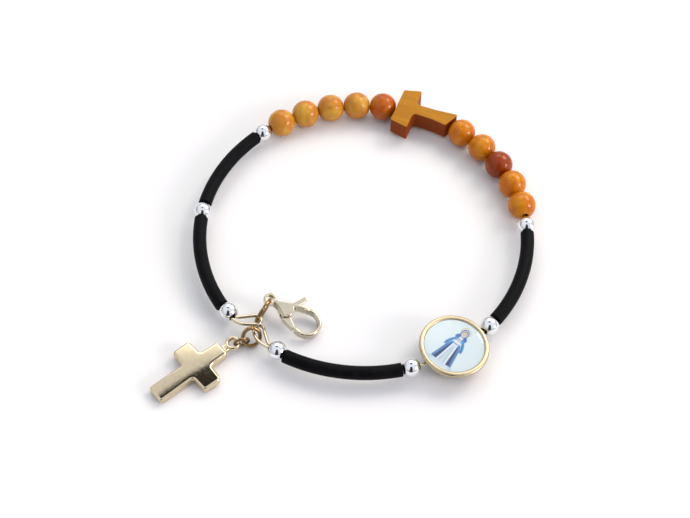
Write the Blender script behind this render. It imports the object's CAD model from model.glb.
"""Looks of a rosary bracelet of wooden and metal beads, black tubes, a picture medal and a hanging cross."""

from math import acos, asin, atan2, ceil, cos, degrees, pi, radians, sin

import bpy
from bpy.props import FloatProperty, FloatVectorProperty, PointerProperty
from mathutils import Matrix, Vector


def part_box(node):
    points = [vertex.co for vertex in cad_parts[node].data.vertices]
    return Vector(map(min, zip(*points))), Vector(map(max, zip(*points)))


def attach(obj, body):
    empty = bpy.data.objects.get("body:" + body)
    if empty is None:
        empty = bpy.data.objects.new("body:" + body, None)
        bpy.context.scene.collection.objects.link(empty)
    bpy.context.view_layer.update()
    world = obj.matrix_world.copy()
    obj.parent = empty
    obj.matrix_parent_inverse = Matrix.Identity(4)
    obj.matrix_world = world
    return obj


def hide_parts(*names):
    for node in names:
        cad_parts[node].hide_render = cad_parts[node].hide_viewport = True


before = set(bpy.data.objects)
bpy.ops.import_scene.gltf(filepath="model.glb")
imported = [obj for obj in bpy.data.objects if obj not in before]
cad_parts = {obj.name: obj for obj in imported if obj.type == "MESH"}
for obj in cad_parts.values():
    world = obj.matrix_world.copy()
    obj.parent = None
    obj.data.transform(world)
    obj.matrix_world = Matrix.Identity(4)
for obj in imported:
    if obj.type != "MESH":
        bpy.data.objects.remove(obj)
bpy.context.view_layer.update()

bl_info = {
    "name": "Rosary bracelet",
    "version": (1, 0, 0),
    "blender": (4, 5, 0),
    "location": "3D View > Sidebar > Bracelet",
    "description": "Dresses the bracelet's solids with turned beads, bent wire, cast metal and varnished wood",
    "category": "Object",
}

# The bracelet's own measures, in millimetres and degrees, as its solids have them
RING_R = 35.2
WIRE_Z = 3.05
WIRE_R = 0.35
LEFT_END = 219.4
RIGHT_END = -123.4345
# How the wire runs on past each end of the ring: straight run, radius of the bend after it, angle of that bend
LEFT_LOOP = [(0.0, 3.9, 49), (2.0, 1.1, 190), (3.4, 0.8, -59), (1.55, 0, 0)]
RIGHT_LOOP = [(1.2, 5.4, -50), (0.0, 1.1, -172), (3.45, 1.5, 42), (1.65, 0, 0)]
# How far the right loop hangs down at its tip, over what length, and which way that length is counted
RIGHT_DROP, DROP_OVER, DROP_WAY = 0.85, 6, RIGHT_END - 115
# Beads: radius, half length of a wooden bead, radius of the hole, and of the wider holes at the string's ends
WOOD_R, WOOD_HALF, WOOD_HOLE = 3.05, 2.93, 0.6
METAL_R, METAL_HOLE, END_HOLE = 2.0, 0.8, 0.9
# Tubes: angle of the middle and angle from end to end, then radius and wall of them all
TUBES = {1: (194.1116, 38.2514), 2: (150.8858, 35.4843), 3: (-19.8738, 38.9839), 4: (-97.3079, 39.928)}
TUBE_R, TUBE_WALL = 1.45, 0.85
# Wooden cross: angle on the ring, length, thickness, turn against the wire, how far inside it, radius of its hole
TAU_DEG, TAU_L, TAU_T, TAU_TURN, TAU_IN, TAU_BORE = 66.5274, 13.2, 4.3, 3, 0.75, 0.75
# Medal: angle on the ring, how far inside it, radius, height, top over the wire, lean, radius of its hole
MEDAL_DEG, MEDAL_IN, MEDAL_R, MEDAL_H, MEDAL_TOP, MEDAL_TILT, MEDAL_BORE = -58.0781, 0.6, 7.25, 3.4, 1.5, 5, 0.85
# Which way the picture's head points
PRINT_UP = 51.5
# Clasp and hanging cross: place of the frame they are drawn in, its turn and how far it dips
CLASP_AT, CLASP_TURN, CLASP_DROP = (-19.495, -18.26, 3.92), -31, 14.4899
CROSS_AT, CROSS_TURN, CROSS_DROP = (-26.9, -27.6, 1.7), 39.2, 2.092
# Each ring of wire: centre, azimuth and elevation of its axis, mean radius, thickness, split and its turn
RINGS = {
    "clasp_ring": ((-20.8, -20.43, 3.14), -28.5, -16.2, 2.7, 0.84, 3, 200),
    "pendant_ring": ((-23.09, -26.31, 2.23), -60, 36.8, 1.9, 0.8, 3, 150),
    "pendant_link": ((-25.08, -27.34, 1.9), 107, 9.6, 1.5, 0.6, 4, 90),
}


def linear(code):
    """A screen colour such as "c78a3c" as the linear colour that Blender mixes in."""
    parts = [int(code[i : i + 2], 16) / 255 for i in (0, 2, 4)]
    return [c / 12.92 if c <= 0.04045 else ((c + 0.055) / 1.055) ** 2.4 for c in parts] + [1]


def colour(name, code, words):
    return FloatVectorProperty(
        name=name, description=words, default=linear(code)[:3], subtype="COLOR", min=0, max=1,
    )


def millimetres(name, size, words, low, high):
    return FloatProperty(
        name=name, description=words, default=size / 1000, min=low / 1000, max=high / 1000,
        subtype="DISTANCE", unit="LENGTH", precision=5,
    )


class BraceletSizes(bpy.types.PropertyGroup):
    lip: millimetres("Bead lip", 0.16, "How far the edge of a wooden bead's hole is eased", 0.05, 0.3)
    ring_gap: millimetres("Growth rings", 1.5, "Spacing of the dark rings in the olive wood", 0.5, 3)
    cut_edge: millimetres("Tube edge", 0.1, "Rounding of a tube's cut ends", 0.02, 0.2)
    cross_edge: millimetres("Cross edge", 0.45, "Rounding of the hanging cross's edges", 0.1, 0.6)
    tau_edge: millimetres("Wooden cross edge", 0.3, "Rounding of the wooden cross's edges", 0.05, 0.4)
    cast_grain: millimetres("Casting detail", 0.055, "Size of the smallest detail kept on the clasp", 0.04, 0.1)


class BraceletColours(bpy.types.PropertyGroup):
    wood: colour("Olive wood", "c9903b", "Ground colour of beads 1 to 4")
    amber: colour("Amber wood", "cb7c0c", "Warmer ground colour of beads 6, 7, 9 and 10")
    russet: colour("Russet wood", "b8600c", "Ground colour of bead 5")
    heart: colour("Heartwood", "923b03", "Ground colour of bead 8")
    varnish: colour("Varnish", "f1d09b", "Amber tint of the beads' varnish")
    tau_face: colour("Wooden cross", "aa721d", "Sanded face of the wooden cross")
    tau_side: colour("Scorched sides", "853b0b", "Sides of the wooden cross, browned by the cut")
    silver: colour("Silver plate", "eff0f2", "Bright plate of the metal beads")
    champagne: colour("Champagne plate", "dccbaa", "Pale gold plate of the hanging cross")
    clasp_plate: colour("Clasp plate", "d8ceb6", "Paler plate of the clasp")
    case_plate: colour("Case plate", "c4b494", "Pale gold plate of the medal's case")
    ring_plate: colour("Ring plate", "947750", "Browner plate of the jump rings")
    wire: colour("Wire", "d3c7ad", "Pale gold of the wire's loops")
    rubber: colour("Rubber", "030306", "Matt black of the tubes")
    ground: colour("Picture ground", "dfe5e4", "Pale ground of the medal's picture")
    mantle: colour("Mantle", "2a62ad", "Blue of the figure's mantle")
    robe: colour("Robe", "e6eaec", "White of the figure's robe")


# Making and finishing pieces


def only(piece):
    """Nothing but this piece is selected."""
    bpy.ops.object.select_all(action="DESELECT")
    piece.select_set(True)
    bpy.context.view_layer.objects.active = piece


def edit(piece, mode="VERT"):
    only(piece)
    bpy.ops.object.mode_set(mode="EDIT")
    bpy.ops.mesh.select_mode(type=mode)
    bpy.ops.mesh.select_all(action="DESELECT")


def leave():
    bpy.ops.object.mode_set(mode="OBJECT")


def apply_all(piece):
    only(piece)
    for modifier in list(piece.modifiers):
        bpy.ops.object.modifier_apply(modifier=modifier.name)


def tidy_shell(piece, reach=0.0005):
    """Joins what meets and turns every face outwards."""
    edit(piece)
    bpy.ops.mesh.select_all(action="SELECT")
    bpy.ops.mesh.remove_doubles(threshold=reach)
    bpy.ops.mesh.normals_make_consistent(inside=False)
    leave()


def profile(name, points, closed):
    """A line of points in the XZ plane, from a circle with as many vertices, moved onto it one by one."""
    bpy.ops.object.select_all(action="DESELECT")
    bpy.ops.mesh.primitive_circle_add(vertices=len(points), radius=1)
    piece = bpy.context.object
    piece.name = name
    for vertex, (across, up) in zip(piece.data.vertices, points):
        vertex.co = (across, 0, up)
    if not closed:
        edit(piece, "EDGE")
        leave()
        for side in piece.data.edges:
            side.select = set(side.vertices) == {0, len(points) - 1}
        bpy.ops.object.mode_set(mode="EDIT")
        bpy.ops.mesh.delete(type="EDGE")
        leave()
    return piece


def turned(name, points, steps, closed=True, part=360):
    """A piece turned on a lathe: its profile is spun round the upright axis."""
    piece = profile(name, points, closed)
    edit(piece)
    bpy.ops.mesh.select_all(action="SELECT")
    bpy.ops.mesh.spin(steps=steps, angle=radians(part), center=(0, 0, 0), axis=(0, 0, 1))
    leave()
    tidy_shell(piece)
    return piece


def blank(name, points, low, high):
    """A flat blank cut to an outline: a disc moved onto the outline's points, then raised."""
    bpy.ops.object.select_all(action="DESELECT")
    bpy.ops.mesh.primitive_circle_add(vertices=len(points), radius=1, fill_type="NGON")
    piece = bpy.context.object
    piece.name = name
    for vertex, (x, y) in zip(piece.data.vertices, points):
        vertex.co = (x, y, low)
    edit(piece, "FACE")
    bpy.ops.mesh.select_all(action="SELECT")
    bpy.ops.mesh.extrude_region_move(TRANSFORM_OT_translate={"value": (0, 0, high - low)})
    leave()
    tidy_shell(piece)
    return piece


def section(middle, across, up, count):
    """The round or oval section of a ring whose middle is that far from the axis."""
    return [(middle + across * cos(2 * pi * k / count), up * sin(2 * pi * k / count)) for k in range(count)]


def pierced_ball(r, rim, steps, hole, lip):
    """The outline of a bead: up its hole, round the lip, over the ball to the angle of its rim and back."""
    ball = [(r * cos(a), r * sin(a)) for a in (rim - 2 * rim * k / steps for k in range(steps + 1))]
    return [(hole, 0.0), *lip, *ball, *[(x, -z) for x, z in reversed(lip)]]


def eased(rows, steps=6):
    """An outline with its corners eased: each point is followed by how far its easing reaches."""
    points = []
    for i, (x, y, reach) in enumerate(rows):
        if not reach:
            points.append((x, y))
            continue
        here, before, after = (Vector(r[:2]) for r in (rows[i], rows[i - 1], rows[(i + 1) % len(rows)]))
        start = here + reach * (before - here).normalized()
        end = here + reach * (after - here).normalized()
        for k in range(steps + 1):
            t = k / steps
            points.append(tuple((1 - t) ** 2 * start + 2 * t * (1 - t) * here + t * t * end))
    return points


def bevel(piece, width, segments, angle):
    """Rounds the edges that are sharper than the angle."""
    modifier = piece.modifiers.new("Eased edges", "BEVEL")
    modifier.width, modifier.segments = width, segments
    modifier.limit_method, modifier.angle_limit = "ANGLE", radians(angle)
    modifier.use_clamp_overlap = True
    apply_all(piece)


def combine(piece, other, operation):
    """Joins another shape to a piece or cuts it out of it, and puts the other away."""
    modifier = piece.modifiers.new("Other shape", "BOOLEAN")
    modifier.object, modifier.operation, modifier.solver = other, operation, "EXACT"
    apply_all(piece)
    bpy.data.objects.remove(other)


def bored(piece, radius, length, place):
    """Drills a straight hole through a piece."""
    bpy.ops.object.select_all(action="DESELECT")
    bpy.ops.mesh.primitive_cylinder_add(vertices=40, radius=radius, depth=length)
    drill = bpy.context.object
    drill.data.transform(place)
    combine(piece, drill, "DIFFERENCE")


def tumbled(piece, grain, rounds):
    """Draws a casting again in fine even faces and tumbles it smooth."""
    only(piece)
    piece.data.remesh_voxel_size = grain
    bpy.ops.object.voxel_remesh()
    soften = piece.modifiers.new("Tumbled", "SMOOTH")
    soften.factor, soften.iterations = 0.5, rounds
    apply_all(piece)


def turn(axis, angle):
    return Matrix.Rotation(radians(angle), 4, axis)


def heading(deg):
    return Vector((cos(radians(deg)), sin(radians(deg)), 0))


def on_ring(deg, r=RING_R):
    """Where an item on the string sits: X along the wire clockwise, Y outward, Z up."""
    return turn("Z", deg) @ Matrix.Translation((r, 0, WIRE_Z)) @ turn("Z", -90)


def half_bow(length):
    """Half of what a stretch of the ring bows away from a straight hole of this length."""
    return length**2 / (16 * RING_R)


def seat(node):
    """Where a bead's solid sits: its angle on the ring, and its distance from the middle."""
    low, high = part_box(node)
    middle = (low + high) * 500
    return degrees(atan2(middle.y, middle.x)), Vector(middle[:2]).length


def carry_grain(piece, spin, shift):
    """Keeps where each point lies in the wood it was cut from, in millimetres, for the wood's figure."""
    grain = piece.data.attributes.new("grain", "FLOAT_VECTOR", "POINT")
    for vertex, value in zip(piece.data.vertices, grain.data):
        value.vector = spin @ vertex.co + Vector(shift)


def placed(piece, where, name, materials, body="bracelet", smooth=35):
    """Sets a piece modelled in millimetres in its place, finishes it and lets it ride on its body."""
    piece.name = piece.data.name = name
    piece.matrix_world = Matrix.Scale(0.001, 4) @ where
    only(piece)
    bpy.ops.object.transform_apply(location=True, rotation=True, scale=True)
    bpy.ops.object.shade_smooth_by_angle(angle=radians(smooth))
    for material in materials:
        piece.data.materials.append(material)
    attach(piece, body)
    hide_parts(name.removeprefix("fine_"))


# Finishes

# A node that brings one range to another with soft ends
SOFT = {"interpolation_type": "SMOOTHSTEP"}
# A node that mixes two colours: input 0 is how much of the second, 6 and 7 are the colours
COLOURS = {"output": 2, "data_type": "RGBA"}


def fill(tree, node, inputs):
    """Gives a node's inputs their values, or joins them to other nodes' outputs."""
    for key, value in inputs.items():
        if isinstance(value, bpy.types.NodeSocket):
            tree.links.new(value, node.inputs[key])
        else:
            node.inputs[key].default_value = value


def add(tree, kind, inputs, output=0, **settings):
    """Adds one node with its own settings and its inputs, and hands on one of its outputs."""
    node = tree.nodes.new("ShaderNode" + kind)
    for key, value in settings.items():
        setattr(node, key, value)
    fill(tree, node, inputs)
    return node.outputs[output]


def finish(name):
    """A new material: its tree, and its shader, which is already joined to the output."""
    if name in bpy.data.materials:
        bpy.data.materials.remove(bpy.data.materials[name])
    made = bpy.data.materials.new(name)
    made.use_nodes = True
    return made, made.node_tree, made.node_tree.nodes["Principled BSDF"]


def in_millimetres(tree):
    """The object's own coordinates in millimetres."""
    where = add(tree, "TexCoord", {}, "Object")
    return add(tree, "VectorMath", {0: where, "Scale": 1000}, operation="SCALE")


def rgba(parts):
    return (*parts, 1.0)


def olive_wood(name, ground, varnish, gap):
    """Olive wood, turned, sanded and dipped in clear varnish: a soft golden figure with thin dark rings under
    a smooth glossy coat."""
    made, tree, surface = finish(name)
    light = rgba(min(1, c * more) for c, more in zip(ground, (1.16, 1.6, 1.7)))
    dark = rgba(c * less for c, less in zip(ground, (0.55, 0.45, 0.4)))
    grain = add(tree, "Attribute", {}, "Vector", attribute_name="grain")
    # Pale patches, 2.6 mm wide
    patches = add(tree, "TexNoise", {"Vector": grain, "Scale": 1 / 2.6})
    patches = add(tree, "MapRange", {"Value": patches, "From Min": 0.38, "From Max": 0.66}, **SOFT)
    body = add(tree, "Mix", {0: patches, 6: rgba(ground), 7: light}, **COLOURS)
    # Growth rings: the wave repeats every 0.314 units at scale 1
    rings = add(
        tree, "TexWave",
        {"Vector": grain, "Scale": 0.314 / gap, "Distortion": 5.5, "Detail": 2.5, "Detail Scale": 0.9,
         "Detail Roughness": 0.55},
        1, wave_type="BANDS", bands_direction="X",
    )
    rings = add(tree, "MapRange", {"Value": rings, "From Min": 0.55, "To Max": 0.17}, **SOFT)
    body = add(tree, "Mix", {0: rings, 6: body, 7: dark}, **COLOURS)
    # Fibres along the grain, drawn 0.13 mm wide so that they show
    drawn = add(tree, "Mapping", {"Vector": grain, "Scale": (1.0, 1.0, 0.12)})
    fibres = add(tree, "TexNoise", {"Vector": drawn, "Scale": 1 / 0.13, "Detail": 3, "Roughness": 0.6})
    lines = add(tree, "MapRange", {"Value": fibres, "From Min": 0.56, "From Max": 0.74, "To Max": 0.3}, **SOFT)
    body = add(tree, "Mix", {0: lines, 6: body, 7: dark}, **COLOURS)
    # The bored hole is bare end grain, darkened by glue and handling
    hole = add(tree, "Attribute", {}, "Fac", attribute_name="bore")
    hole = add(tree, "Math", {0: hole, 1: 0.85}, operation="MULTIPLY")
    # The varnish lies in low waves, 1.4 mm wide
    waves = add(tree, "TexNoise", {"Vector": grain, "Scale": 1 / 1.4, "Detail": 1})
    fill(tree, surface, {
        "Base Color": add(tree, "Mix", {0: hole, 6: body, 7: linear("35170a")}, **COLOURS),
        "Roughness": add(tree, "MapRange", {
            "Value": fibres, "From Min": 0.3, "From Max": 0.7, "To Min": 0.42, "To Max": 0.56}, **SOFT),
        "Normal": add(tree, "Bump", {"Height": fibres, "Strength": 0.25, "Distance": 0.00002}),
        "Specular IOR Level": 0.1, "IOR": 1.46,
        # Amber varnish: the longer the way through it, the redder the wood
        "Coat Normal": add(tree, "Bump", {"Height": waves, "Strength": 0.5, "Distance": 0.00005}),
        "Coat Weight": 0.72, "Coat Roughness": 0.1, "Coat IOR": 1.4, "Coat Tint": rgba(varnish),
    })
    return made


def sawn_wood(name, ground, lighter):
    """Olive wood, sawn from a board, its edges eased and oiled: satin faces, and sides browned by the cut."""
    made, tree, surface = finish(name)
    light = rgba(min(1, c * lighter) for c in ground)
    grain = add(tree, "Attribute", {}, "Vector", attribute_name="grain")
    drawn = add(tree, "Mapping", {"Vector": grain, "Scale": (0.16, 1.0, 1.0)})
    # Bands 1.2 mm wide along the board, and fibres drawn 0.14 mm wide so that they show
    bands = add(tree, "TexNoise", {
        "Vector": drawn, "Scale": 1 / 1.2, "Detail": 3, "Roughness": 0.55, "Distortion": 0.6})
    bands = add(tree, "MapRange", {"Value": bands, "From Min": 0.35, "From Max": 0.7}, **SOFT)
    fibres = add(tree, "TexNoise", {"Vector": drawn, "Scale": 1 / 0.14, "Detail": 3, "Roughness": 0.6})
    lines = add(tree, "MapRange", {"Value": fibres, "From Min": 0.5, "From Max": 0.72, "To Max": 0.45}, **SOFT)
    body = add(tree, "Mix", {0: bands, 6: rgba(ground), 7: light}, **COLOURS)
    fill(tree, surface, {
        "Base Color": add(tree, "Mix", {0: lines, 6: body, 7: rgba(c * 0.72 for c in ground)}, **COLOURS),
        "Roughness": add(tree, "MapRange", {
            "Value": fibres, "From Min": 0.3, "From Max": 0.7, "To Min": 0.5, "To Max": 0.66}, **SOFT),
        "Normal": add(tree, "Bump", {"Height": fibres, "Strength": 0.5, "Distance": 0.00003}),
        "Specular IOR Level": 0.14, "IOR": 1.46,
    })
    return made


def plated(name, tone, rough, handled, ripple):
    """Cast or drawn metal, polished and plated: mirror bright, a little wavy from the polishing wheel, with
    faint wear where it is handled."""
    made, tree, surface = finish(name)
    where = in_millimetres(tree)
    # Wear 1.1 mm wide, finger marks 0.5 mm wide and the wheel's waves 1.3 mm wide
    worn = add(tree, "TexNoise", {"Vector": where, "Scale": 1 / 1.1, "Detail": 3, "Roughness": 0.6})
    worn = add(tree, "MapRange", {"Value": worn, "From Min": 0.42, "From Max": 0.72}, **SOFT)
    marks = add(tree, "TexNoise", {"Vector": where, "Scale": 1 / 0.5, "Detail": 4, "Roughness": 0.65})
    waves = add(tree, "TexNoise", {"Vector": where, "Scale": 1 / 1.3, "Detail": 1})
    fill(tree, surface, {
        "Base Color": add(tree, "Mix", {0: worn, 6: rgba(tone), 7: rgba(c * 0.94 for c in tone)}, **COLOURS),
        "Roughness": add(tree, "MapRange", {
            "Value": marks, "From Min": 0.35, "From Max": 0.75, "To Min": rough, "To Max": rough + handled}, **SOFT),
        "Normal": add(tree, "Bump", {"Height": waves, "Strength": ripple, "Distance": 0.00005}),
        "Metallic": 1.0,
    })
    return made


def matt_rubber(name, tone):
    """Extruded black rubber: matt, with a fine bloom and a few grains of dust."""
    made, tree, surface = finish(name)
    where = in_millimetres(tree)
    # Bloom 1.8 mm wide, with dust and the skin's grain drawn 0.16 and 0.22 mm wide so that they show
    bloom = add(tree, "TexNoise", {"Vector": where, "Scale": 1 / 1.8, "Detail": 3, "Roughness": 0.6})
    bloom = add(tree, "MapRange", {"Value": bloom, "From Min": 0.4, "From Max": 0.7}, **SOFT)
    dust = add(tree, "TexNoise", {"Vector": where, "Scale": 1 / 0.16, "Detail": 1})
    dust = add(tree, "MapRange", {"Value": dust, "From Min": 0.78, "From Max": 0.84, "To Max": 0.25}, **SOFT)
    skin = add(tree, "TexNoise", {"Vector": where, "Scale": 1 / 0.22})
    body = add(tree, "Mix", {0: bloom, 6: rgba(tone), 7: rgba(c * 1.7 + 0.002 for c in tone)}, **COLOURS)
    fill(tree, surface, {
        "Base Color": add(tree, "Mix", {0: dust, 6: body, 7: linear("8d8a88")}, **COLOURS),
        "Roughness": add(tree, "MapRange", {"Value": bloom, "To Min": 0.5, "To Max": 0.62}),
        "Normal": add(tree, "Bump", {"Height": skin, "Strength": 0.3, "Distance": 0.00002}),
        "Specular IOR Level": 0.08, "IOR": 1.5,
    })
    return made


# The medal's picture: a plain robed figure with joined hands on a pale ground, in soft ovals and flared strips.
# Oval: middle across and up, half width, half height, turn. Strip: foot across and up, its height, half width at
# its foot and at its top, turn. Then colour and softness. Millimetres and degrees. Ovals and strips stand for a
# shape and its mirror image.
PICTURE = [
    ("oval", (0.0, 0.1), (5.2, 5.7), 0, "e5eaea", 0.35),
    ("ovals", (-1.6, -5.0), (1.5, 0.42), 6, "c3d0db", 0.3),
    ("oval", (0.0, -5.15), (2.0, 0.5), 0, "d3dee6", 0.3),
    ("oval", (0.0, 4.15), (1.12, 1.12), 0, "d9b763", 0.05),
    ("oval", (0.0, 4.15), (0.98, 0.98), 0, "e5eaea", 0.05),
    ("strip", (0.0, -4.75), (8.2, 2.4, 0.8), 0, "mantle", 0.08),
    ("oval", (0.0, 2.35), (1.34, 0.9), 0, "mantle", 0.1),
    ("strips", (-1.78, -4.7), (5.2, 0.62, 0.2), -11, "12265f", 0.3),
    ("strips", (-2.1, -4.5), (6.0, 0.13, 0.08), -13, "4f94cf", 0.6),
    ("strip", (0.0, -4.95), (7.6, 1.16, 0.42), 0, "robe", 0.08),
    ("strip", (-0.6, -4.9), (5.0, 0.13, 0.05), -5, "a9b6c5", 0.6),
    ("strip", (0.58, -4.9), (5.0, 0.13, 0.05), 5, "a9b6c5", 0.6),
    ("strip", (-0.2, -4.9), (4.4, 0.09, 0.04), -2, "bcc7d2", 0.6),
    ("strip", (0.22, -4.9), (4.6, 0.09, 0.04), 2, "bcc7d2", 0.6),
    ("oval", (0.0, 0.55), (0.62, 0.13), 0, "4a86bd", 0.3),
    ("ovals", (-1.22, 0.75), (1.7, 0.56), 63, "3d93d2", 0.1),
    ("ovals", (-1.5, 0.35), (1.15, 0.13), 64, "173a7c", 0.4),
    ("ovals", (-1.02, 0.9), (1.2, 0.09), 60, "8cc6ea", 0.5),
    ("ovals", (-0.55, 1.15), (0.66, 0.2), 33, "robe", 0.15),
    ("oval", (0.0, 1.72), (0.21, 0.5), 0, "e3bd9f", 0.12),
    ("oval", (0.0, 1.72), (0.025, 0.4), 0, "b98f76", 0.3),
    ("oval", (0.0, 3.75), (0.86, 1.12), 0, "mantle", 0.08),
    ("oval", (0.0, 3.68), (0.66, 0.92), 0, "dfe3e6", 0.1),
    ("oval", (0.0, 3.7), (0.53, 0.7), 0, "7d5a41", 0.1),
    ("oval", (0.0, 3.58), (0.45, 0.6), 0, "e9c5a8", 0.08),
    ("ovals", (-0.17, 3.6), (0.095, 0.03), 0, "6e4b3a", 0.3),
    ("oval", (0.0, 3.44), (0.032, 0.1), 0, "cf9f85", 0.4),
    ("oval", (0.0, 3.25), (0.11, 0.03), 0, "b5675c", 0.3),
]


def on_medal():
    """The medal's own frame: Z out of its picture, counted from the wire."""
    middle = (RING_R - MEDAL_IN) * heading(MEDAL_DEG)
    return Matrix.Translation((*middle[:2], WIRE_Z)) @ turn("Y", MEDAL_TILT)


def picture(name, ground, named):
    """Matt coated paper, printed in a fine screen: the medal's picture."""
    made, tree, surface = finish(name)
    upright = on_medal() @ turn("Z", PRINT_UP - 90)
    flat = add(
        tree, "Mapping",
        {"Vector": add(tree, "TexCoord", {}, "Object"), "Location": upright.translation / 1000,
         "Rotation": upright.to_euler("XYZ"), "Scale": (0.001, 0.001, 0.001)},
        vector_type="TEXTURE",
    )
    flat = add(tree, "VectorMath", {0: flat, 1: (1, 1, 0)}, operation="MULTIPLY")
    body = rgba(ground)
    for kind, (x, y), size, lean, code, soft in PICTURE:
        tone = rgba(named[code]) if code in named else linear(code)
        oval = kind.startswith("oval")
        for side in (1, -1) if kind.endswith("s") else (1,):
            own = add(
                tree, "Mapping",
                {"Vector": flat, "Location": (side * x, y, 0), "Rotation": (0, 0, radians(side * lean)),
                 "Scale": (size[0], size[1], 1) if oval else (1, size[0], 1)},
                vector_type="TEXTURE",
            )
            if oval:
                far = add(tree, "VectorMath", {0: own}, "Value", operation="LENGTH")
            else:
                across, up = (add(tree, "SeparateXYZ", {0: own}, k) for k in (0, 1))
                wide = add(tree, "MapRange", {"Value": up, "To Min": size[1], "To Max": size[2]})
                off = add(tree, "Math", {0: across}, operation="ABSOLUTE")
                far = add(tree, "Math", {0: off, 1: wide}, operation="DIVIDE")
            inside = add(tree, "MapRange", {"Value": far, "From Min": 1 + soft, "From Max": 1 - soft}, **SOFT)
            if not oval:
                # A strip also stops at its foot and at its top
                for start, end in ((-0.02, 0.02), (1.02, 0.98)):
                    within = add(tree, "MapRange", {"Value": up, "From Min": start, "From Max": end}, **SOFT)
                    inside = add(tree, "Math", {0: inside, 1: within}, operation="MULTIPLY")
            body = add(tree, "Mix", {0: inside, 6: body, 7: tone}, **COLOURS)
    # The printing screen, drawn at 0.12 mm so that it shows close up
    screen = add(tree, "TexNoise", {"Vector": flat, "Scale": 1 / 0.12, "Detail": 1})
    screen = add(tree, "MapRange", {"Value": screen, "From Min": 0.4, "From Max": 0.7, "To Max": 0.06}, **SOFT)
    fill(tree, surface, {
        "Base Color": add(tree, "Mix", {0: screen, 6: body, 7: linear("9fb6c4")}, **COLOURS),
        "Roughness": 0.5, "Specular IOR Level": 0.3,
    })
    return made


def clear_resin(name):
    """Clear casting resin, poured to a low dome: see-through, with a sharp gloss."""
    made, tree, surface = finish(name)
    tree.nodes.remove(surface)
    waves = add(tree, "TexNoise", {"Vector": in_millimetres(tree), "Scale": 1 / 3.5, "Detail": 1})
    bump = add(tree, "Bump", {"Height": waves, "Strength": 0.2, "Distance": 0.0001})
    gloss = add(tree, "BsdfGlossy", {"Color": linear("ffffff"), "Roughness": 0.03, "Normal": bump})
    through = add(tree, "BsdfTransparent", {"Color": linear("f7fafb")})
    # The gloss of resin, 4% face on and all of it at a grazing look, the same from both sides of the dome
    facing = add(tree, "LayerWeight", {"Blend": 0.5, "Normal": bump}, "Facing")
    rise = add(tree, "Math", {0: facing, 1: 5.0}, operation="POWER")
    edge = add(tree, "Math", {0: rise, 1: 0.96, 2: 0.04}, operation="MULTIPLY_ADD")
    mixed = add(tree, "MixShader", {0: edge, 1: through, 2: gloss})
    fill(tree, tree.nodes["Material Output"], {"Surface": mixed})
    return made


# The pieces, one operator each


class MakeWoodBeads(bpy.types.Operator):
    """Turns one wooden bead and copies it to its ten places, each with its own figure"""

    bl_idname = "bracelet.wood_beads"
    bl_label = "Wooden beads"

    def execute(self, context):
        sizes, tones = context.scene.bracelet_sizes, context.scene.bracelet_colours
        lip, gap = sizes.lip * 1000, sizes.ring_gap * 1000
        rounded = [
            (WOOD_HOLE, WOOD_HALF - 0.5), (WOOD_HOLE, WOOD_HALF - 0.28), (WOOD_HOLE + lip * 0.3, WOOD_HALF - 0.1),
            (WOOD_HOLE + lip, WOOD_HALF - 0.02), (WOOD_HOLE + lip + 0.1, WOOD_HALF - 0.003),
        ]
        rim = asin(WOOD_HALF / WOOD_R) - 0.09
        master = turned("bead", pierced_ball(WOOD_R, rim, 24, WOOD_HOLE, rounded), 56)
        bore = master.data.attributes.new("bore", "FLOAT", "POINT")
        for vertex, value in zip(master.data.vertices, bore.data):
            out = Vector(vertex.co[:2]).length
            value.value = max(0.0, min(1.0, (WOOD_HOLE + lip * 0.9 - out) / (lip * 0.7)))
        pale = olive_wood("varnished_olive_wood", tones.wood, tones.varnish, gap)
        amber = olive_wood("varnished_amber_wood", tones.amber, tones.varnish, gap)
        russet = olive_wood("varnished_russet_wood", tones.russet, tones.varnish, gap)
        heart = olive_wood("varnished_heartwood", tones.heart, tones.varnish, gap)
        for i in range(1, 11):
            name = f"wood_bead_{i:02d}"
            bead = bpy.data.objects.new(name, master.data.copy())
            context.scene.collection.objects.link(bead)
            # Each is cut from another place in the wood and strung at another turn
            spin = (turn("X", 37 * i) @ turn("Y", 61 * i) @ turn("Z", 17 * i)).to_3x3()
            carry_grain(bead, spin, (7.3 * i, 4.1 * i, 2.7 * i))
            way = on_ring(seat(name)[0]) @ turn("Y", 90) @ turn("Z", 47 * i)
            wood = {5: russet, 8: heart}.get(i, pale if i < 5 else amber)
            placed(bead, way, "fine_" + name, [wood])
        bpy.data.objects.remove(master)
        return {"FINISHED"}


class MakeMetalBeads(bpy.types.Operator):
    """Turns the small plated beads, with the two wider holes at the ends of the string"""

    bl_idname = "bracelet.metal_beads"
    bl_label = "Metal beads"

    def execute(self, context):
        silver = plated("silver_plate", context.scene.bracelet_colours.silver, 0.04, 0.05, 0.12)
        for i in range(1, 8):
            name = f"metal_bead_{i}"
            hole = END_HOLE if i in (1, 7) else METAL_HOLE
            rim = acos((hole + 0.1) / METAL_R)
            half = METAL_R * sin(rim)
            lip = [(hole, half - 0.16), (hole + 0.012, half - 0.07), (hole + 0.05, half - 0.015)]
            bead = turned("bead", pierced_ball(METAL_R, rim, 26, hole, lip), 48)
            placed(bead, on_ring(*seat(name)) @ turn("Y", 90), "fine_" + name, [silver])
        return {"FINISHED"}


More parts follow.
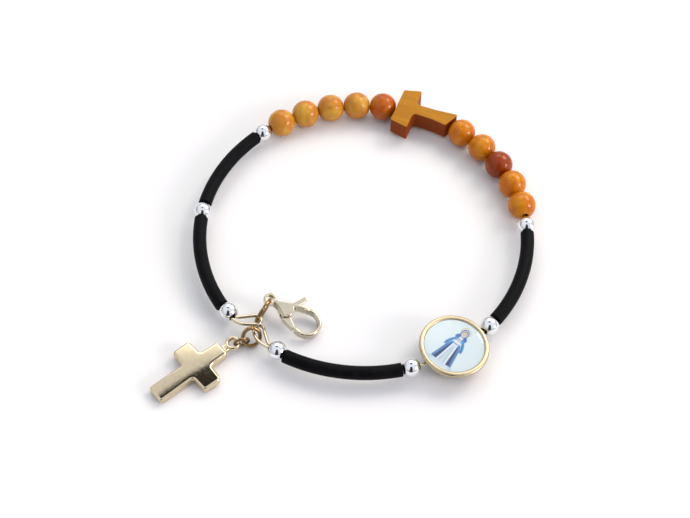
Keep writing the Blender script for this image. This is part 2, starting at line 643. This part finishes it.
class MakeTubes(bpy.types.Operator):
    """Draws the four rubber tubes round the ring and cuts them square"""

    bl_idname = "bracelet.tubes"
    bl_label = "Rubber tubes"

    def execute(self, context):
        rubber = matt_rubber("matt_black_rubber", context.scene.bracelet_colours.rubber)
        for i, (middle, sweep) in TUBES.items():
            tube = turned("tube", section(RING_R, TUBE_R, TUBE_R, 40), 60, part=sweep)
            wall = tube.modifiers.new("Wall", "SOLIDIFY")
            wall.thickness, wall.offset, wall.use_even_offset = TUBE_WALL, -1, True
            apply_all(tube)
            bevel(tube, context.scene.bracelet_sizes.cut_edge * 1000, 2, 50)
            way = Matrix.Translation((0, 0, WIRE_Z)) @ turn("Z", middle + sweep / 2)
            placed(tube, way, f"fine_rubber_tube_{i}", [rubber])
        return {"FINISHED"}


def walk(at, way, moves, step=0.18):
    """Points of the wire as it runs straight and round its bends."""
    points = []
    for straight, radius, angle in moves:
        if straight:
            at = at + straight * heading(way)
            points.append(at)
        if radius:
            steps = ceil(radians(abs(angle)) * radius / step)
            chord = 2 * radius * sin(radians(abs(angle)) / steps / 2)
            for _ in range(steps):
                at = at + chord * heading(way + angle / steps / 2)
                way += angle / steps
                points.append(at)
    return points


class BendWire(bpy.types.Operator):
    """Bends the stiff wire round the ring and turns its two ends back into loops"""

    bl_idname = "bracelet.wire"
    bl_label = "Wire"

    def execute(self, context):
        start, end = RING_R * heading(LEFT_END), RING_R * heading(RIGHT_END)
        left = walk(start, LEFT_END + 90, LEFT_LOOP)[::-1]
        ring = [RING_R * heading(LEFT_END + (RIGHT_END - LEFT_END) * k / 240) for k in range(241)]
        right = []
        for p in walk(end, RIGHT_END - 90, RIGHT_LOOP):
            out = max(0, (p - end).dot(heading(DROP_WAY)))
            right.append(p - Vector((0, 0, RIGHT_DROP * (out / DROP_OVER) ** 2)))
        points = [p + Vector((0, 0, WIRE_Z)) for p in left + ring + right]
        bpy.ops.object.select_all(action="DESELECT")
        bpy.ops.curve.primitive_nurbs_path_add()
        wire = context.object
        wire.data.splines.clear()
        line = wire.data.splines.new("POLY")
        line.points.add(len(points) - 1)
        for point, p in zip(line.points, points):
            point.co = (*p, 1)
        wire.data.dimensions, wire.data.twist_mode = "3D", "Z_UP"
        wire.data.bevel_depth, wire.data.bevel_resolution, wire.data.use_fill_caps = WIRE_R, 5, True
        only(wire)
        bpy.ops.object.convert(target="MESH")
        wire = context.object
        tidy_shell(wire)
        metal = plated("pale_gold_wire", context.scene.bracelet_colours.wire, 0.1, 0.07, 0.2)
        placed(wire, Matrix.Identity(4), "fine_core_wire", [metal])
        return {"FINISHED"}


class MakeTau(bpy.types.Operator):
    """Saws the T-shaped wooden cross, eases its edges and drills it for the wire"""

    bl_idname = "bracelet.tau"
    bl_label = "Wooden cross"

    def execute(self, context):
        tones = context.scene.bracelet_colours
        # Along the wire: the bar's two sides and the foot. Across it: half the bar, and the neck's two sides, of
        # which the outer one is thicker over the hole
        top, bar, foot, half, inner, outer = -6.35, -2.25, 6.5, 5.55, 1.2, 1.5
        wood = blank("tau", eased([
            (top, 2.5, 0), (top, half - 1, 0.4), (bar - 0.2, half, 0.4), (bar, 2.2, 0.3), (bar + 0.35, outer, 0.6),
            (2.3, outer, 0), (foot + 0.95, 1.9, 0.6), (foot - 0.85, -1.9, 0.3), (2.3, -inner - 0.15, 0),
            (bar + 0.35, -inner, 0.6), (bar, -2.2, 0.3), (bar, -half, 0.4), (top - 0.1, 0.9 - half, 0.4),
            (top, -2.5, 0),
        ]), -TAU_T / 2, TAU_T / 2)
        bow = half_bow(TAU_L)
        shift = Matrix.Translation((0, bow - TAU_IN, 0)) @ turn("Z", TAU_TURN)
        bored(wood, TAU_BORE, 40, shift.inverted() @ turn("Y", 90))
        bevel(wood, context.scene.bracelet_sizes.tau_edge * 1000, 4, 50)
        carry_grain(wood, Matrix.Identity(3), (3, 5, 7))
        face = sawn_wood("oiled_olive_wood", tones.tau_face, 1.22)
        side = sawn_wood("scorched_olive_wood", tones.tau_side, 1.12)
        for polygon in wood.data.polygons:
            polygon.material_index = 0 if abs(polygon.normal.z) > 0.55 else 1
        way = on_ring(TAU_DEG, RING_R - bow) @ shift
        placed(wood, way, "fine_tau_cross", [face, side], smooth=50)
        return {"FINISHED"}


class MakeMedal(bpy.types.Operator):
    """Turns the medal's case, prints its picture and pours the clear dome over it"""

    bl_idname = "bracelet.medal"
    bl_label = "Picture medal"

    def execute(self, context):
        tones = context.scene.bracelet_colours
        r, top, back = MEDAL_R, MEDAL_TOP, MEDAL_TOP - MEDAL_H
        # From the middle of the back round the rim to the recess for the picture
        case = turned("case", [
            (0, back), (4.9, back), (5.55, back + 0.02), (5.85, back + 0.12), (6.1, back + 0.45),
            (7.08, 0.45), (7.2, 0.7), (r, 0.92), (r, 1.1), (7.2, 1.28), (7.08, 1.41), (6.9, 1.485), (6.7, top),
            (6.5, 1.485), (6.33, 1.42), (6.26, 1.3), (6.25, 1.15), (6.25, 1.05), (0, 1.05),
        ], 128, closed=False)
        way = on_medal()
        bore = on_ring(MEDAL_DEG, RING_R - half_bow(2 * r)) @ turn("Y", 90)
        bored(case, MEDAL_BORE, 22, way.inverted() @ bore)
        metal = plated("champagne_case", tones.case_plate, 0.27, 0.1, 0.1)
        placed(case, way, "fine_medal_case", [metal], smooth=40)
        # The resin lies on the picture, 0.3 mm thick at its edge and 0.2 mm more in its middle
        under, edge, crown = 1.24, 0.3, 0.2
        dome = [(6.2 * cos(a), under + edge + crown * (1 - cos(a) ** 2)) for a in (pi * k / 28 for k in range(15))]
        resin = turned("resin", [(0, under), (6.18, under), *dome[:-1], (0, dome[-1][1])], 96, closed=False)
        placed(resin, way, "fine_medal_resin", [clear_resin("clear_resin")])
        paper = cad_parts["medal_print"]
        paper.data.materials.clear()
        named = {"mantle": tones.mantle, "robe": tones.robe}
        paper.data.materials.append(picture("printed_picture", tones.ground, named))
        return {"FINISHED"}


class CastClasp(bpy.types.Operator):
    """Casts the lobster clasp's body and the lever that turns on its rivet"""

    bl_idname = "bracelet.clasp"
    bl_label = "Clasp"

    def execute(self, context):
        grain = context.scene.bracelet_sizes.cast_grain * 1000
        metal = plated("champagne_clasp", context.scene.bracelet_colours.clasp_plate, 0.1, 0.08, 0.12)
        way = Matrix.Translation(CLASP_AT) @ turn("Z", CLASP_TURN) @ turn("Y", CLASP_DROP)
        for node, rounds, body in (("clasp_body", 12, "bracelet"), ("clasp_lever", 8, "gate")):
            # From its solid, joined up and drawn in its own frame
            piece = bpy.data.objects.new(node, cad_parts[node].data.copy())
            context.scene.collection.objects.link(piece)
            piece.data.materials.clear()
            piece.data.transform(way.inverted() @ Matrix.Scale(1000, 4))
            tidy_shell(piece, 0.002)
            tumbled(piece, grain, rounds)
            # Plating gives back the skin that the tumbling took
            plate = piece.modifiers.new("Plating", "DISPLACE")
            plate.strength, plate.mid_level = 0.025, 0
            apply_all(piece)
            placed(piece, way, "fine_" + node, [metal], body, smooth=180)
        return {"FINISHED"}


class BendRings(bpy.types.Operator):
    """Bends the three jump rings, each with its ends closed to a fine split"""

    bl_idname = "bracelet.rings"
    bl_label = "Jump rings"

    def execute(self, context):
        metal = plated("ring_plate", context.scene.bracelet_colours.ring_plate, 0.08, 0.08, 0.6)
        for name, (at, azimuth, elevation, r, thick, split, start) in RINGS.items():
            ring = turned("ring", section(r, thick / 2, thick / 2, 20), 64, part=360 - split)
            edit(ring, "EDGE")
            bpy.ops.mesh.select_non_manifold()
            bpy.ops.mesh.edge_face_add()
            leave()
            tidy_shell(ring)
            bevel(ring, 0.05, 2, 60)
            axis = turn("Z", azimuth) @ turn("Y", 90 - elevation)
            way = Matrix.Translation(at) @ axis @ turn("Z", start - split / 2)
            placed(ring, way, "fine_" + name, [metal], smooth=40)
        return {"FINISHED"}


class CastCross(bpy.types.Operator):
    """Casts the hanging cross with rounded edges, a slightly domed face and its eye"""

    bl_idname = "bracelet.cross"
    bl_label = "Hanging cross"

    def execute(self, context):
        # Along the cross: foot, the arms' two sides, head. Then the arms' reach, and how far it lies off its eye
        foot, low, high, head, reach, aside = -19.45, -11.05, -6.85, -2.35, 5.675, 0.25
        side = [
            (foot, 2.1, 0.9), (low - 0.2, 1.95, 0.6), (low, reach, 0.9), (high, reach, 0.9), (high + 0.2, 1.9, 0.6),
            (head, 1.75, 0.6),
        ]
        cross = blank("cross", eased([(x, -y, ease) for x, y, ease in side] + side[::-1], 8), -0.95, 0.95)
        bevel(cross, context.scene.bracelet_sizes.cross_edge * 1000, 6, 60)
        cross.data.transform(Matrix.Translation((0, aside, 0)))
        eye = turned("eye", section(1.23, 0.42, 0.56, 20), 64)
        wide = head - 0.8
        neck = blank("neck", [(wide, -0.95), (-1.25, -0.7), (-1.25, 0.7), (wide, 0.95)], -0.5, 0.5)
        bevel(neck, 0.2, 3, 60)
        combine(cross, neck, "UNION")
        combine(cross, eye, "UNION")
        tumbled(cross, 0.09, 6)
        # The polishing wheel leaves the face a little domed, most of all across the arms
        for vertex in cross.data.vertices:
            x, y, z = vertex.co
            if z > 0 and x < head:
                fall = 0.0045 * (y - aside) ** 2 + 0.0012 * (x - (low + high) / 2) ** 2
                vertex.co.z -= min(1, z / 0.9) * fall
        way = Matrix.Translation(CROSS_AT) @ turn("Z", CROSS_TURN) @ turn("Y", -CROSS_DROP)
        metal = plated("champagne_cross", context.scene.bracelet_colours.champagne, 0.05, 0.05, 0.05)
        placed(cross, way, "fine_cross_pendant", [metal], smooth=180)
        return {"FINISHED"}


# How the room looks to the polished metal: direction as azimuth and elevation, half width, soft edge, colour,
# brightness, strength
ROOM = [
    ((91, 43), 12, 8, "fffaf0", 3.4, 1.0),
    ((-22, 22), 8, 4, "fff0f2", 15.0, 1.0),
    ((104, 72.5), 10, 0.8, "2b211c", 0.5, 0.97),
    ((-93, 56), 11, 7, "33261f", 0.8, 0.95),
    ((-93, 36), 14, 7, "33261f", 0.8, 0.95),
    ((-95, 16), 16, 9, "3a2d26", 0.8, 0.9),
    ((165, 10), 14, 14, "8c8074", 0.8, 0.4),
]
# The window: place and width in metres, power in watts
WINDOW_AT, WINDOW_WIDE, WINDOW_POWER = (0.56, 0.47, 0.61), 0.42, 4.0
# The camera: what it looks at and from how far, in metres, its angle down and its roll in radians, and how long
# its lens is for the width of its picture
LOOK_AT, LOOK_FROM, LOOK_DOWN, LOOK_ROLL = Vector((-3.948, -5.219, 0)) / 1000, 0.322452, 0.9700983, 0.0061831
SENSOR, LENS = 36, 1500.70 / 690


class SetStage(bpy.types.Operator):
    """Lays the pale floor and sets the soft light and the camera"""

    bl_idname = "bracelet.stage"
    bl_label = "Floor, light and camera"

    def execute(self, context):
        scene = context.scene
        bpy.ops.object.select_all(action="DESELECT")
        bpy.ops.mesh.primitive_plane_add(size=6)
        floor = context.object
        floor.name = "floor"
        # Painted board: pale, matt and even, so that soft shadows show on it
        made, tree, surface = finish("pale_board")
        cloud = add(tree, "TexNoise", {"Vector": in_millimetres(tree), "Scale": 1 / 60, "Detail": 1})
        fill(tree, surface, {
            "Base Color": add(tree, "Mix", {0: cloud, 6: linear("edecea"), 7: linear("eaebee")}, **COLOURS),
            "Roughness": 0.75, "Specular IOR Level": 0.15,
        })
        floor.data.materials.append(made)

        world = bpy.data.worlds.new("studio")
        scene.world = world
        world.use_nodes = True
        tree = world.node_tree
        way = add(tree, "TexCoord", {}, "Generated")
        height = add(tree, "SeparateXYZ", {0: way}, 2)
        height = add(tree, "MapRange", {"Value": height, "From Min": -0.1, "From Max": 0.75}, **SOFT)
        sky = add(tree, "Mix", {0: height, 6: linear("bcc1ca"), 7: linear("f1f5fd")}, **COLOURS)
        for (azimuth, elevation), wide, edge, code, bright, most in ROOM:
            out = cos(radians(elevation)) * heading(azimuth) + Vector((0, 0, sin(radians(elevation))))
            near = add(tree, "VectorMath", {0: way, 1: out}, "Value", operation="DOT_PRODUCT")
            seen = add(tree, "MapRange", {
                "Value": near, "From Min": cos(radians(wide + edge)), "From Max": cos(radians(wide)), "To Max": most},
                **SOFT)
            tone = rgba(c * bright for c in linear(code)[:3])
            sky = add(tree, "Mix", {0: seen, 6: sky, 7: tone}, **COLOURS)
        fill(tree, tree.nodes["Background"], {"Color": sky, "Strength": 1.0})

        lamp = bpy.data.lights.new("window", "AREA")
        lamp.shape, lamp.size, lamp.size_y, lamp.energy = "RECTANGLE", WINDOW_WIDE, WINDOW_WIDE, WINDOW_POWER
        lamp.color = linear("fff4e6")[:3]
        window = bpy.data.objects.new("window", lamp)
        scene.collection.objects.link(window)
        window.location = WINDOW_AT
        window.rotation_euler = (-Vector(WINDOW_AT)).to_track_quat("-Z", "Y").to_euler()

        lens = bpy.data.cameras.new("camera")
        lens.sensor_width, lens.lens = SENSOR, LENS * SENSOR
        lens.clip_start, lens.clip_end = 0.01, 20
        camera = bpy.data.objects.new("camera", lens)
        scene.collection.objects.link(camera)
        forward = Vector((0, cos(LOOK_DOWN), -sin(LOOK_DOWN)))
        level = forward.to_track_quat("-Z", "Y").to_matrix().to_4x4()
        camera.location = LOOK_AT - forward * LOOK_FROM
        camera.rotation_euler = (level @ Matrix.Rotation(LOOK_ROLL, 4, "Z")).to_euler()
        scene.camera = camera
        scene.view_settings.view_transform = "Standard"
        scene.view_settings.look = "None"
        scene.view_settings.exposure = 0.0
        return {"FINISHED"}


STEPS = (
    SetStage, BendWire, MakeWoodBeads, MakeMetalBeads, MakeTubes, MakeTau, MakeMedal, CastClasp, BendRings, CastCross,
)


class BraceletPanel(bpy.types.Panel):
    """The bracelet's sizes and colours, and a button for each piece"""

    bl_idname = "VIEW3D_PT_rosary_bracelet"
    bl_label = "Rosary bracelet"
    bl_space_type = "VIEW_3D"
    bl_region_type = "UI"
    bl_category = "Bracelet"

    def draw(self, context):
        for group in (context.scene.bracelet_sizes, context.scene.bracelet_colours):
            column = self.layout.column(align=True)
            for key in group.__annotations__:
                column.prop(group, key)
        column = self.layout.column(align=True)
        for step in STEPS:
            column.operator(step.bl_idname)


CLASSES = (BraceletSizes, BraceletColours, *STEPS, BraceletPanel)


def register():
    for cls in CLASSES:
        bpy.utils.register_class(cls)
    bpy.types.Scene.bracelet_sizes = PointerProperty(type=BraceletSizes)
    bpy.types.Scene.bracelet_colours = PointerProperty(type=BraceletColours)


def unregister():
    del bpy.types.Scene.bracelet_colours
    del bpy.types.Scene.bracelet_sizes
    for cls in reversed(CLASSES):
        bpy.utils.unregister_class(cls)


def main():
    register()
    bpy.ops.bracelet.stage()
    bpy.ops.bracelet.wire()
    bpy.ops.bracelet.wood_beads()
    bpy.ops.bracelet.metal_beads()
    bpy.ops.bracelet.tubes()
    bpy.ops.bracelet.tau()
    bpy.ops.bracelet.medal()
    bpy.ops.bracelet.clasp()
    bpy.ops.bracelet.rings()
    bpy.ops.bracelet.cross()


if __name__ == "__main__":
    main()
